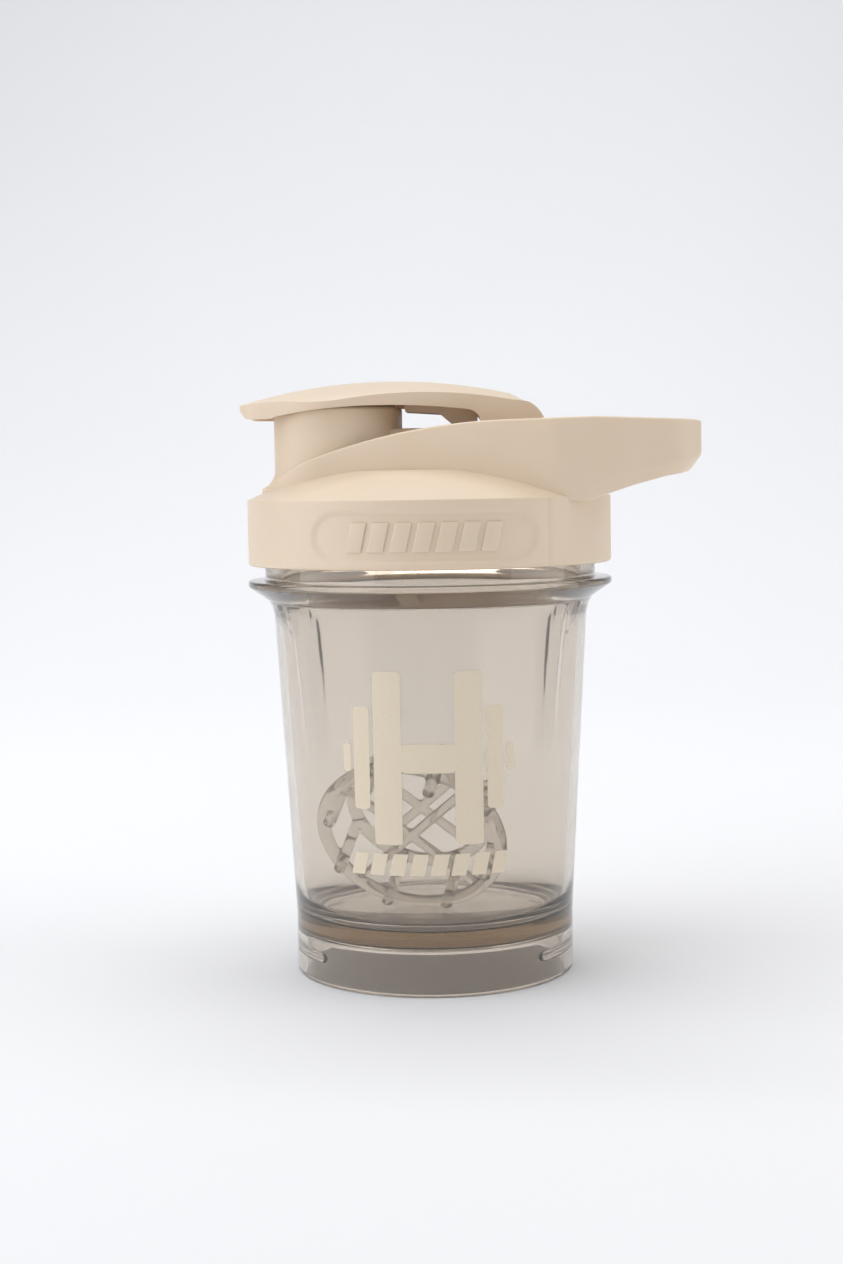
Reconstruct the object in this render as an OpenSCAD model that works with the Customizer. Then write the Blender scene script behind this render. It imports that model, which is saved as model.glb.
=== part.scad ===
// Protein shaker: tinted cup, screw lid with a carry loop and a drinking spout,
// flip cap on a hinge pin, silicone seals and a two-part mixing ball.
// Millimetres. Origin on the cup's axis at the table, +Z up, +X towards the carry loop.

/* [Cup] */
// Radius of the base skirt, the part that drops into a cup holder
skirt_r = 35.45; // [34.8:0.05:36]
// Height of the cup's rim
rim_z = 115.5; // [115:0.1:116]
// Height of the top of the cup's floor
floor_z = 15; // [14:0.5:16]
// Thickness of the cup's floor
floor_t = 3.5; // [2.5:0.5:4]
// Radius of the grip flange under the neck
flange_r = 46.1; // [45.5:0.1:46.5]
// Half width of the finger recess on each side
recess_half_w = 22.8; // [18:0.2:24]
// Height of the top of the finger recess
recess_top_z = 93.7; // [88:0.1:94]

/* [Lid] */
// Outer radius of the lid's collar
collar_r = 45.95; // [45.5:0.05:46.4]
// Height of the collar's lower edge
collar_z = 103.6; // [103:0.1:104]
// Height of the flat deck at the middle of the dome
deck_z = 127; // [126.5:0.1:127.3]
// Distance from the cup's axis to the spout's axis
spout_x = -22.75; // [-23:0.05:-22.5]
// Outer radius of the spout
spout_r = 16.25; // [16:0.05:16.4]
// Bore radius of the spout
spout_bore_r = 13.75; // [13.6:0.05:13.9]
// Height of the spout's lip
spout_top_z = 142.9; // [142.5:0.1:142.9]
// Wall thickness of the carry loop
loop_wall = 3; // [2.4:0.1:3.4]

/* [Flip cap] */
// Distance from the cup's axis to the hinge pin
hinge_x = 21.5; // [21:0.1:22]
// Height of the hinge pin
hinge_z = 136; // [135.8:0.1:136.2]
// Radius of the hinge pin
pin_r = 1.25; // [1.1:0.05:1.4]
// Radial running clearance of the cap's ears on the pin
pin_gap = 0.05; // [0.02:0.01:0.1]
// Radius of the cap's long crown
crown_r = 135; // [130:1:140]
// Radius of the cap's crown from side to side
crown_cross_r = 40; // [38:0.5:60]

/* [Mixing ball] */
// Radius of the front hoop to the middle of its round section
hoop_ring_r = 22.3; // [21:0.1:22.6]
// Radius of the rear hoop to the middle of its round section
rear_ring_r = 17.8; // [17.4:0.1:18.4]
// Radius of the hoops' round section
hoop_r = 1.7; // [1.6:0.1:1.9]
// Number of pegs that join the two hoops
peg_count = 8; // [4:2:10]
// Lean of the ball's axis back from upright
ball_lean = 57; // [40:1:65]
// Tilt of the ball to the side
ball_tilt = 20; // [0:1:30]

/* [Hidden] */
$fn = 96;

tint = [0.62, 0.58, 0.53, 0.55];
beige = [0.90, 0.82, 0.73];
natural = [0.86, 0.83, 0.78, 0.8];
silicone = [0.93, 0.90, 0.85];

// cup
skirt_in_r = 33;
skirt_edge = 0.8;
under_z = floor_z - floor_t;
inside_r = 33.2;
inside_fillet = 6;
rim_in_r = 39.2;
neck_r = 41.9;
flange_top_z = 99.8;
flare_z = 52;
flare_r = 37.4;
shoulder_z = 93;
shoulder_r = 40.6;
core_slope = 0.0547;
recess_corner = 9;
lug_depth = 1.2;
lug_z = 6.5;
lug_r = 1;
lug_half_w = 19.6;

arc_step = 9;

// screw thread, two starts
lead = 8;
starts = 2;
thread_turn = 225;
thread_steps = 25;
thread_cup_z = 106.6;
thread_lid_z = 104.6;
thread_root_half = 1.2;
thread_crest_half = 0.55;
thread_bite = 0.3;
cup_crest_r = 43.1;
collar_in_r = 43.5;
lid_crest_r = 42.35;

// lid
dome_r = 107;
dome_c = 23.3;
shell_t = 2.2;
seat_z = 117.5;
plug_out_r = 38.4;
plug_in_r = 36;
plug_z = 108;
panel_half_w = 26.6;
panel_half_h = 5.9;
panel_z = 111.3;
panel_depth = 0.6;
flare_fillet = 5;
flare_low_z = 121;
spine_half_w = 8.9;
spine_top_z = 137.4;
spine_end_x = 17.5;
knuckle_r = 4;
loop_top_r = 150;
loop_top_x = 22;
loop_top_z = 138.7;
loop_end_x = 67.2;
loop_floor_z = 119;
loop_circles = [[spout_x, 0, 19], [32, 17, 14], [54.2, 16, 13]];

// gasket
gasket_gap = 0.05;
gasket_in_r = 39.3;
gasket_out_r = 42.4;

// flip cap
cap_wall = 1.7;
cap_roof = 1.6;
crown_x = -9.5;
crown_top_z = 149.4;
rear_r = 8.4;
rear_in_r = 6.6;
rear_low_deg = 12;
rear_top_deg = 62.5;
crown_end_x = 20.9;
crown_foot_x = 13.5;
hem_r = 165;
hem_x = -10;
hem_z = 143;
hem_tip_x = -45.2;
hem_tip_z = 140.2;
hem_corner = 3;
tip_slant_h = 2.8;
ear_r = 7.5;
ear_t = 1.7;
ear_half_w = 11;
cap_circles = [[-35.7, 0, 12], [spout_x, 0, 18.5], [27.9, 9, 2]];
boss_r = 7;
stud_r = 4;
stud_h = 1.8;
rib_y = 4.6;
rib_t = 1.5;
rib_z = 138.6;

// seal
seal_r = 14.6;
seal_low_z = 143;
seal_t = 0.8;
plug_tip_z = 140.4;
seal_plug_r = 13.2;
seal_tip_r = 12.8;
pin_half = 10.7;

// mixing ball, along its own axis from the front hoop to the rear hoop
ball_x = -4;
ball_y = -9;
ball_reach_r = 23.95;
ball_z = floor_z + ball_reach_r;
front_ring = -6;
rear_ring = 5;
peg_r = 1.5;
peg_ring_r = 20;
peg_front = -11.5;
peg_rear = 7;
spoke_w = 2.4;
split_gap = 0.1;

// ---- shared outlines ----

// Direction from a circle's centre to where it meets the line shared with the next circle
function tangent_deg(a, b) =
    atan2(b[1] - a[1], b[0] - a[0]) + acos((a[2] - b[2]) / norm([b[0] - a[0], b[1] - a[1]]));
function arrive_deg(cs, i) = i == 0 ? 180 : tangent_deg(cs[i - 1], cs[i]);
function leave_deg(cs, i) = i == len(cs) - 1 ? 0 : tangent_deg(cs[i], cs[i + 1]);
function upper_half(cs, inset) = [
    for (i = [0:len(cs) - 1])
        let (steps = ceil(abs(arrive_deg(cs, i) - leave_deg(cs, i)) / arc_step))
        each arc_points(cs[i][0], cs[i][1], cs[i][2] - inset, arrive_deg(cs, i), leave_deg(cs, i),
                        max(1, steps))];
function flipped(ps) = [for (i = [len(ps) - 1:-1:0]) if (ps[i][1] > 0.001) [ps[i][0], -ps[i][1]]];

// Outline wrapped round circles that are mirrored about X, pulled in by inset
module envelope(cs, inset = 0) {
    half = upper_half(cs, inset);
    polygon(concat(half, flipped(half)));
}

function arc_points(x, z, r, from, to, steps) =
    [for (i = [0:steps]) let (a = from + (to - from) * i / steps) [x + r * cos(a), z + r * sin(a)]];

// An outline in X and Z pushed through the whole width along Y
module across(half_w) {
    rotate([90, 0, 0])
        linear_extrude(height = 2 * half_w, center = true)
            children();
}

// An outline in Y and Z pushed through the whole length along X
module along(half_l) {
    rotate([90, 0, 90])
        linear_extrude(height = 2 * half_l, center = true)
            children();
}

// ---- screw thread ----

function ridge_ring(i, root, crest, z, start) =
    let (t = i / thread_steps, a = start + thread_turn * t, mid = z + lead * thread_turn * t / 360,
         fade = min(1, min(i, thread_steps - i) / 2), tip = root + (crest - root) * max(0.2, fade))
    [for (p = [[root, -thread_root_half], [tip, -thread_crest_half],
               [tip, thread_crest_half], [root, thread_root_half]])
        [p[0] * cos(a), p[0] * sin(a), mid + p[1]]];

module ridge(root, crest, z, start) {
    points = [for (i = [0:thread_steps]) each ridge_ring(i, root, crest, z, start)];
    last = 4 * thread_steps;
    turn_in = crest < root;
    sides = [for (i = [0:thread_steps - 1])
                for (k = [0:3])
                    let (a = 4 * i + k, b = 4 * i + (k + 1) % 4)
                    turn_in ? [a, a + 4, b + 4, b] : [a, b, b + 4, a + 4]];
    ends = turn_in ? [[0, 1, 2, 3], [last + 3, last + 2, last + 1, last]]
                   : [[3, 2, 1, 0], [last, last + 1, last + 2, last + 3]];
    polyhedron(points, concat(sides, ends));
}

module threads(root, crest, z) {
    for (s = [0:starts - 1])
        ridge(root, crest, z, s * 360 / starts);
}

// ---- cup ----

module cup_outline() {
    polygon(concat([
        [0, under_z], [skirt_in_r, under_z], [skirt_in_r, skirt_edge],
        [skirt_in_r + skirt_edge, 0], [skirt_r - skirt_edge, 0], [skirt_r, skirt_edge],
        [skirt_r, floor_z], [flare_r, flare_z], [shoulder_r, shoulder_z],
        [shoulder_r + 0.2, 94.9], [41.4, 95.6], [45.5, 97.7],
        [flange_r, 98.2], [flange_r, flange_top_z - 0.3], [flange_r - 0.3, flange_top_z],
        [neck_r, flange_top_z], [neck_r, rim_z], [rim_in_r, rim_z]],
        arc_points(inside_r - inside_fillet, floor_z + inside_fillet, inside_fillet, 0, -90, 6),
        [[0, floor_z]]));
}

module finger_arch() {
    square_top = recess_top_z - recess_corner;
    inner = recess_half_w - recess_corner;
    translate([-recess_half_w, 40])
        square([2 * recess_half_w, square_top - 40]);
    translate([-inner, 40])
        square([2 * inner, recess_top_z - 40]);
    for (side = [-1, 1])
        translate([side * inner, square_top])
            circle(r = recess_corner);
}

module core_cone() {
    top_z = 97;
    rotate_extrude()
        polygon([[0, 30], [skirt_r + core_slope * (30 - floor_z), 30],
                 [skirt_r + core_slope * (top_z - floor_z), top_z], [0, top_z]]);
}

module lugs() {
    intersection() {
        rotate_extrude()
            translate([skirt_in_r - lug_depth, lug_z - 2])
                square([lug_depth + 0.5, 4]);
        along(60) {
            translate([-lug_half_w, lug_z - lug_r])
                square([2 * lug_half_w, 2 * lug_r]);
            for (side = [-1, 1])
                translate([side * lug_half_w, lug_z])
                    circle(r = lug_r);
        }
    }
}

module cup() color(tint) {
    difference() {
        rotate_extrude()
            cup_outline();
        difference() {
            along(60)
                finger_arch();
            core_cone();
        }
    }
    lugs();
    threads(neck_r - thread_bite, cup_crest_r, thread_cup_z);
}

// ---- lid ----

module dome(shrink, r, low_z, top_z) {
    intersection() {
        translate([0, 0, dome_c])
            sphere(r = dome_r - shrink, $fn = 200);
        translate([0, 0, low_z])
            cylinder(r = r, h = top_z - low_z);
    }
}

module loop_side() {
    sweep_from = 90;
    sweep_to = 90 + asin((loop_top_x + 42) / loop_top_r);
    polygon(concat(
        [[-42, loop_floor_z], [33.5, loop_floor_z], [38.5, 118.7], [44, 120.7], [51, 122.9],
         [58, 124.6], [63.3, 125.4], [66.2, 126.6], [loop_end_x, 128.2],
         [loop_end_x, 138], [41, 139.2]],
        arc_points(loop_top_x, loop_top_z - loop_top_r, loop_top_r, sweep_from, sweep_to, 10)));
}

module carry_loop() {
    intersection() {
        translate([0, 0, 110])
            linear_extrude(height = 40)
                difference() {
                    envelope(loop_circles);
                    envelope(loop_circles, loop_wall);
                }
        across(40)
            loop_side();
    }
}

module spout_mass() {
    translate([spout_x, 0, flare_low_z])
        cylinder(r = spout_r, h = spout_top_z - flare_low_z);
    translate([spout_x, 0, 0])
        rotate_extrude()
            difference() {
                translate([spout_bore_r, flare_low_z])
                    square([spout_r + flare_fillet - spout_bore_r, deck_z + 0.5 - flare_low_z]);
                translate([spout_r + flare_fillet, deck_z + 0.5])
                    circle(r = flare_fillet);
            }
}

module spine_mass() {
    across(spine_half_w) {
        polygon([[spout_x, deck_z - 1], [spine_end_x, deck_z - 1], [spine_end_x, 131],
                 [hinge_x - 1, hinge_z - 3.9], [hinge_x - 1, hinge_z + 3.9],
                 [spine_end_x - 3, spine_top_z], [spout_x, spine_top_z]]);
        translate([hinge_x, hinge_z])
            circle(r = knuckle_r);
    }
}

module label_panel() {
    difference() {
        translate([0, -40, 0])
            across(20) {
                translate([panel_half_h - panel_half_w, panel_z - panel_half_h])
                    square([2 * (panel_half_w - panel_half_h), 2 * panel_half_h]);
                for (side = [-1, 1])
                    translate([side * (panel_half_w - panel_half_h), panel_z])
                        circle(r = panel_half_h);
            }
        cylinder(r = collar_r - panel_depth, h = 150);
    }
}

module lid_shell() color(beige) {
    difference() {
        union() {
            dome(0, collar_r, collar_z, deck_z);
            carry_loop();
            spout_mass();
            spine_mass();
        }
        difference() {
            translate([0, 0, collar_z - 1])
                cylinder(r = collar_in_r, h = seat_z - collar_z + 1);
            translate([0, 0, plug_z])
                cylinder(r = plug_out_r, h = seat_z);
        }
        dome(shell_t, plug_in_r, plug_z - 1, deck_z - shell_t);
        translate([spout_x, 0, 100])
            cylinder(r = spout_bore_r, h = 60);
        translate([hinge_x, 20, hinge_z])
            rotate([90, 0, 0])
                cylinder(r = pin_r, h = 40);
        label_panel();
    }
    threads(collar_in_r + thread_bite, lid_crest_r, thread_lid_z);
}

module lid_gasket() color(silicone) {
    translate([0, 0, rim_z + gasket_gap])
        difference() {
            cylinder(r = gasket_out_r, h = seat_z - rim_z - 2 * gasket_gap);
            translate([0, 0, -1])
                cylinder(r = gasket_in_r, h = 10);
        }
}

// ---- flip cap ----

// Side outline of the crown and rear wall, dropped inwards by the wall's thickness
function crown_points(drop, rear) = concat(
    arc_points(crown_x, crown_top_z - crown_r, crown_r - drop,
               90 + asin((50 + crown_x) / crown_r), 90 - asin((crown_end_x - crown_x) / crown_r), 12),
    arc_points(hinge_x, hinge_z, rear, rear_top_deg, rear_low_deg, 6));

module cap_outside() {
    corner_x = crown_foot_x - hem_corner;
    corner_z = hem_z - hem_r + sqrt(pow(hem_r, 2) - pow(corner_x - hem_x, 2)) - hem_corner;
    hem_from = 90 - asin((corner_x - hem_x) / hem_r);
    hem_to = 90 + asin((38 + hem_x) / hem_r);
    foot_z = hinge_z + rear_r * sin(rear_low_deg);
    polygon(concat(crown_points(0, rear_r), [[crown_foot_x, foot_z]],
                   arc_points(corner_x, corner_z, hem_corner, 0, 80, 5),
                   arc_points(hem_x, hem_z - hem_r, hem_r, hem_from, hem_to, 8),
                   [[hem_tip_x, hem_tip_z], [hem_tip_x - tip_slant_h, hem_tip_z + tip_slant_h],
                    [-50, hem_tip_z + tip_slant_h]]));
}

module cap_inside() {
    polygon(concat(crown_points(cap_roof, rear_in_r), [[hinge_x + rear_in_r, 130], [-50, 130]]));
}

// Plan outline of the cap under a crown that is round along and across
module cap_envelope(inset, drop) {
    across_r = crown_cross_r - drop;
    middle = crown_r - crown_cross_r;
    intersection() {
        translate([0, 0, 120])
            linear_extrude(height = 40)
                envelope(cap_circles, inset);
        translate([crown_x, 0, crown_top_z - crown_r])
            rotate([90, 0, 0])
                rotate_extrude($fn = 240) {
                    translate([middle, 0])
                        intersection() {
                            circle(r = across_r);
                            translate([0, -across_r])
                                square([across_r, 2 * across_r]);
                        }
                    translate([0, -across_r])
                        square([middle, 2 * across_r]);
                }
    }
}

module cap_ears() {
    for (side = [-1, 1])
        translate([0, side * (ear_half_w - ear_t / 2), 0])
            across(ear_t / 2)
                translate([hinge_x, hinge_z])
                    circle(r = ear_r);
}

module cap_ribs() {
    for (side = [-1, 1])
        translate([0, side * rib_y, 0])
            across(rib_t / 2)
                polygon([[-5.5, 141.6], [3.2, 141], [6, rib_z], [12.5, rib_z], [13, 146],
                         [-5.5, 147.6]]);
}

module seal_boss() {
    translate([spout_x, 0, seal_low_z + seal_t])
        difference() {
            cylinder(r = boss_r, h = 3);
            translate([0, 0, -1])
                cylinder(r = stud_r, h = stud_h + 1);
        }
}

module flip_cap() color(beige) {
    difference() {
        union() {
            difference() {
                intersection() {
                    across(30)
                        cap_outside();
                    cap_envelope(0, 0);
                }
                intersection() {
                    across(31)
                        cap_inside();
                    cap_envelope(cap_wall, cap_roof);
                }
            }
            cap_ears();
            cap_ribs();
            seal_boss();
        }
        translate([hinge_x, 20, hinge_z])
            rotate([90, 0, 0])
                cylinder(r = pin_r + pin_gap, h = 40);
    }
}

module spout_seal() color(silicone) {
    translate([spout_x, 0, 0])
        rotate_extrude()
            polygon([[0, plug_tip_z + 1.2], [seal_tip_r - 2, plug_tip_z + 1.2],
                     [seal_tip_r - 1.4, plug_tip_z], [seal_tip_r, plug_tip_z],
                     [seal_plug_r, seal_low_z], [seal_r, seal_low_z],
                     [seal_r, seal_low_z + seal_t], [stud_r, seal_low_z + seal_t],
                     [stud_r, seal_low_z + seal_t + stud_h], [0, seal_low_z + seal_t + stud_h]]);
}

module hinge_pin() color("silver") {
    translate([hinge_x, pin_half, hinge_z])
        rotate([90, 0, 0])
            cylinder(r = pin_r, h = 2 * pin_half);
}

// ---- mixing ball, about its own centre ----

module ball_hoop(r, at) {
    translate([0, 0, at])
        rotate_extrude()
            translate([r, 0])
                circle(r = hoop_r, $fn = 24);
}

module spokes(r, at) {
    for (turn = [0, 90])
        rotate([0, 0, turn + 22.5])
            translate([-r, -spoke_w / 2, at - spoke_w / 2])
                cube([2 * r, spoke_w, spoke_w]);
}

module pegs(from, to) {
    for (i = [0:peg_count - 1])
        rotate([0, 0, i * 360 / peg_count])
            translate([peg_ring_r, 0, from])
                cylinder(r = peg_r, h = to - from, $fn = 24);
}

module place_ball() {
    translate([ball_x, ball_y, ball_z])
        rotate([0, ball_tilt, 0])
            rotate([-ball_lean, 0, 0])
                children();
}

module mixing_ball_front() color(natural) {
    place_ball() {
        ball_hoop(hoop_ring_r, front_ring);
        spokes(hoop_ring_r, front_ring);
        pegs(peg_front, -split_gap / 2);
    }
}

module mixing_ball_rear() color(natural) {
    place_ball() {
        ball_hoop(rear_ring_r, rear_ring);
        spokes(rear_ring_r, rear_ring);
        pegs(split_gap / 2, peg_rear);
    }
}

cup();
lid_shell();
lid_gasket();
flip_cap();
spout_seal();
hinge_pin();
mixing_ball_front();
mixing_ball_rear();
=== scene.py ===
import bpy
import math
from mathutils import Matrix, Vector


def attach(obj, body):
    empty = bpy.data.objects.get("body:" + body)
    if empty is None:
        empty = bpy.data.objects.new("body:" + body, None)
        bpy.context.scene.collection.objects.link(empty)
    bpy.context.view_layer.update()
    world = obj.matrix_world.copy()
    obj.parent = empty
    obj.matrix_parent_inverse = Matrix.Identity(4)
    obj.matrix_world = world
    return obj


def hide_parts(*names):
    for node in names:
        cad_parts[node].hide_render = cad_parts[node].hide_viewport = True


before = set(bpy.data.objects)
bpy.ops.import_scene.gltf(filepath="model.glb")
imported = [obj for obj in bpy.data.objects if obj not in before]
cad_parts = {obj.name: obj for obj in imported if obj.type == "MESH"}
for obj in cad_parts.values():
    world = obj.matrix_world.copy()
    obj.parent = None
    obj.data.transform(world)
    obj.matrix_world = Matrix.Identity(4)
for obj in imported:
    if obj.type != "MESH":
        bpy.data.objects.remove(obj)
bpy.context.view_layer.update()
mm = 0.001  # the pieces' dictionaries are in millimetres, Blender and the studio are in metres
print("frame loaded:", sorted(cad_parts))


def pick(piece):
    if bpy.context.object and bpy.context.object.mode != "OBJECT":
        bpy.ops.object.mode_set(mode="OBJECT")
    bpy.ops.object.select_all(action="DESELECT")
    piece.select_set(True)
    bpy.context.view_layer.objects.active = piece


def editAll(piece):
    pick(piece)
    bpy.ops.object.mode_set(mode="EDIT")
    bpy.ops.mesh.select_mode(type="VERT")
    bpy.ops.mesh.select_all(action="SELECT")


def leaveEdit():
    bpy.ops.object.mode_set(mode="OBJECT")


def applyPlace(piece):
    pick(piece)
    bpy.ops.object.transform_apply(location=True, rotation=True, scale=True)


def applyModifier(piece, kind, **settings):
    modifier = piece.modifiers.new(kind.lower(), kind)
    for key, value in settings.items():
        setattr(modifier, key, value)
    pick(piece)
    bpy.ops.object.modifier_apply(modifier=modifier.name)


def bevelEdges(piece, width, segments=3, sharperThan=30):
    applyModifier(piece, "BEVEL", width=width * mm, segments=segments, limit_method="ANGLE",
                  angle_limit=math.radians(sharperThan), use_clamp_overlap=True)


def boolean(piece, other, operation):
    applyModifier(piece, "BOOLEAN", operation=operation, object=other, solver="EXACT")
    bpy.data.objects.remove(other)


def join(pieces, name):
    pick(pieces[0])
    for piece in pieces:
        piece.select_set(True)
    bpy.ops.object.join()
    joined = bpy.context.object
    joined.name = name
    return joined


def smoothBelow(piece, degrees):
    pick(piece)
    bpy.ops.object.shade_smooth_by_angle(angle=math.radians(degrees))


def moveVertices(piece, rule):
    for vertex in piece.data.vertices:
        vertex.co = rule(vertex.co.copy())


def smoothStep(edge0, edge1, value):
    t = min(1.0, max(0.0, (value - edge0) / (edge1 - edge0)))
    return t * t * (3 - 2 * t)


def arcPoints(x, z, radius, start, end, step=10):
    # start, end and step in degrees
    count = max(1, math.ceil(abs(end - start) / step))
    angles = [math.radians(start + (end - start) * i / count) for i in range(count + 1)]
    return [(x + radius * math.cos(a), z + radius * math.sin(a)) for a in angles]


def roundedLine(corners, turnStep=15):
    # each corner is (across, up, fillet radius); a corner without a fillet stays sharp
    line = []
    for i, corner in enumerate(corners):
        point = Vector(corner[:2])
        fillet = corner[2] if len(corner) > 2 else 0
        if not fillet:
            line.append(tuple(point))
            continue
        back = (Vector(corners[i - 1][:2]) - point).normalized()
        ahead = (Vector(corners[i + 1][:2]) - point).normalized()
        half = back.angle(ahead) / 2
        centre = point + (back + ahead).normalized() * (fillet / math.sin(half))
        start = point + back * (fillet / math.tan(half)) - centre
        end = point + ahead * (fillet / math.tan(half)) - centre
        startAngle = math.atan2(start.y, start.x)
        sweep = math.atan2(start.x * end.y - start.y * end.x, start.dot(end))
        count = max(2, math.ceil(abs(math.degrees(sweep)) / turnStep))
        for k in range(count + 1):
            a = startAngle + sweep * k / count
            line.append((centre.x + fillet * math.cos(a), centre.y + fillet * math.sin(a)))
    return line


def spaced(line, stepAt):
    # adds points so that no stretch is longer than stepAt(across, up)
    points = [line[0]]
    for before, after in zip(line, line[1:]):
        middle = ((before[0] + after[0]) / 2, (before[1] + after[1]) / 2)
        length = math.dist(before, after)
        if length < 1e-4:
            continue
        count = max(1, math.ceil(length / stepAt(*middle)))
        for k in range(1, count + 1):
            t = k / count
            points.append((before[0] + (after[0] - before[0]) * t,
                           before[1] + (after[1] - before[1]) * t))
    return points


def drawLine(name, points):
    # one vertex, extruded from point to point; points in metres
    bpy.ops.object.select_all(action="DESELECT")
    bpy.ops.mesh.primitive_plane_add(size=mm, location=points[0])
    piece = bpy.context.object
    piece.name = name
    editAll(piece)
    bpy.ops.mesh.merge(type="CENTER")
    for before, after in zip(points, points[1:]):
        move = Vector(after) - Vector(before)
        bpy.ops.mesh.extrude_vertices_move(TRANSFORM_OT_translate={"value": move})
    leaveEdit()
    applyPlace(piece)
    return piece


def lathe(name, line, steps, axisX=0.0, closed=False):
    # line is (radius, height) in millimetres, spun about an upright axis
    points = [((axisX + across) * mm, 0, up * mm) for across, up in line]
    if closed:
        points.append(points[0])
    piece = drawLine(name, points)
    editAll(piece)
    bpy.ops.mesh.remove_doubles(threshold=1e-7)
    bpy.ops.mesh.spin(steps=steps, angle=2 * math.pi, center=(axisX * mm, 0, 0), axis=(0, 0, 1))
    bpy.ops.mesh.select_all(action="SELECT")
    bpy.ops.mesh.remove_doubles(threshold=5e-6)
    bpy.ops.mesh.normals_make_consistent(inside=False)
    leaveEdit()
    return piece


def tangentAngle(a, b):
    run = Vector((b[0] - a[0], b[1] - a[1]))
    return math.degrees(math.atan2(run.y, run.x) + math.acos((a[2] - b[2]) / run.length))


def envelopeOutline(circles, inset=0.0, step=9):
    # outline round circles (x, y, radius) that are mirrored about X, clockwise from the -X end
    upper = []
    for i, (x, y, radius) in enumerate(circles):
        start = 180 if i == 0 else tangentAngle(circles[i - 1], circles[i])
        end = 0 if i == len(circles) - 1 else tangentAngle(circles[i], circles[i + 1])
        upper += arcPoints(x, y, radius - inset, start, end, step)
    lower = [(x, -y) for x, y in reversed(upper) if y > 0.001]
    return upper + lower


def plate(name, outline, z):
    # a flat face with the given outline, in millimetres
    points = [(x * mm, y * mm, z * mm) for x, y in outline]
    piece = drawLine(name, points)
    editAll(piece)
    bpy.ops.mesh.edge_face_add()
    leaveEdit()
    return piece


def bisectEvery(piece, axis, low, high, step):
    normal = [1.0 if i == axis else 0.0 for i in range(3)]
    count = math.ceil((high - low) / step)
    for k in range(1, count):
        at = [0.0, 0.0, 0.0]
        at[axis] = (low + (high - low) * k / count) * mm
        editAll(piece)
        bpy.ops.mesh.bisect(plane_co=at, plane_no=normal)
    leaveEdit()


def extrudeUp(piece, height):
    editAll(piece)
    bpy.ops.mesh.extrude_region_move(TRANSFORM_OT_translate={"value": (0, 0, height * mm)})
    bpy.ops.mesh.select_all(action="SELECT")
    bpy.ops.mesh.normals_make_consistent(inside=False)
    leaveEdit()


def block(name, low, high):
    centre = [(a + b) / 2 * mm for a, b in zip(low, high)]
    bpy.ops.object.select_all(action="DESELECT")
    bpy.ops.mesh.primitive_cube_add(size=1, location=centre)
    piece = bpy.context.object
    piece.name = name
    piece.scale = [(b - a) * mm for a, b in zip(low, high)]
    applyPlace(piece)
    return piece


def rod(name, radius, start, end, vertices=48, bevel=0.0):
    a, b = Vector(start) * mm, Vector(end) * mm
    bpy.ops.object.select_all(action="DESELECT")
    bpy.ops.mesh.primitive_cylinder_add(vertices=vertices, radius=radius * mm,
                                        depth=(b - a).length, location=(a + b) / 2)
    piece = bpy.context.object
    piece.name = name
    piece.rotation_mode = "QUATERNION"
    piece.rotation_quaternion = (b - a).to_track_quat("Z", "Y")
    applyPlace(piece)
    if bevel:
        bevelEdges(piece, bevel, 4, 60)
    return piece


def across(name, outline, halfWidth):
    # an outline in X and Z pushed through the width along Y
    piece = plate(name, outline, 0)
    extrudeUp(piece, 2 * halfWidth)
    piece.matrix_world = Matrix.Rotation(math.radians(90), 4, "X")
    applyPlace(piece)
    piece.location.y = halfWidth * mm
    applyPlace(piece)
    return piece


def linear(hexColour):
    values = [int(hexColour[i:i + 2], 16) / 255 for i in (1, 3, 5)]
    return [v / 12.92 if v <= 0.04045 else ((v + 0.055) / 1.055) ** 2.4 for v in values] + [1.0]


def addNode(tree, kind, settings=None, links=None):
    # settings are properties or input defaults; links are input name -> output socket
    node = tree.nodes.new(kind)
    for key, value in (settings or {}).items():
        if isinstance(key, str) and hasattr(node, key):
            setattr(node, key, value)
        else:
            node.inputs[key].default_value = value
    for key, socket in (links or {}).items():
        tree.links.new(socket, node.inputs[key])
    return node


def newMaterial(name):
    material = bpy.data.materials.new(name)
    material.use_nodes = True
    material.node_tree.nodes.clear()
    tree = material.node_tree
    place = addNode(tree, "ShaderNodeTexCoord")
    output = addNode(tree, "ShaderNodeOutputMaterial")
    return material, tree, place.outputs["Object"], output


def perMetre(sizeInMm):
    # noise scale that gives features of about this size
    return 1 / (sizeInMm * mm)


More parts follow.
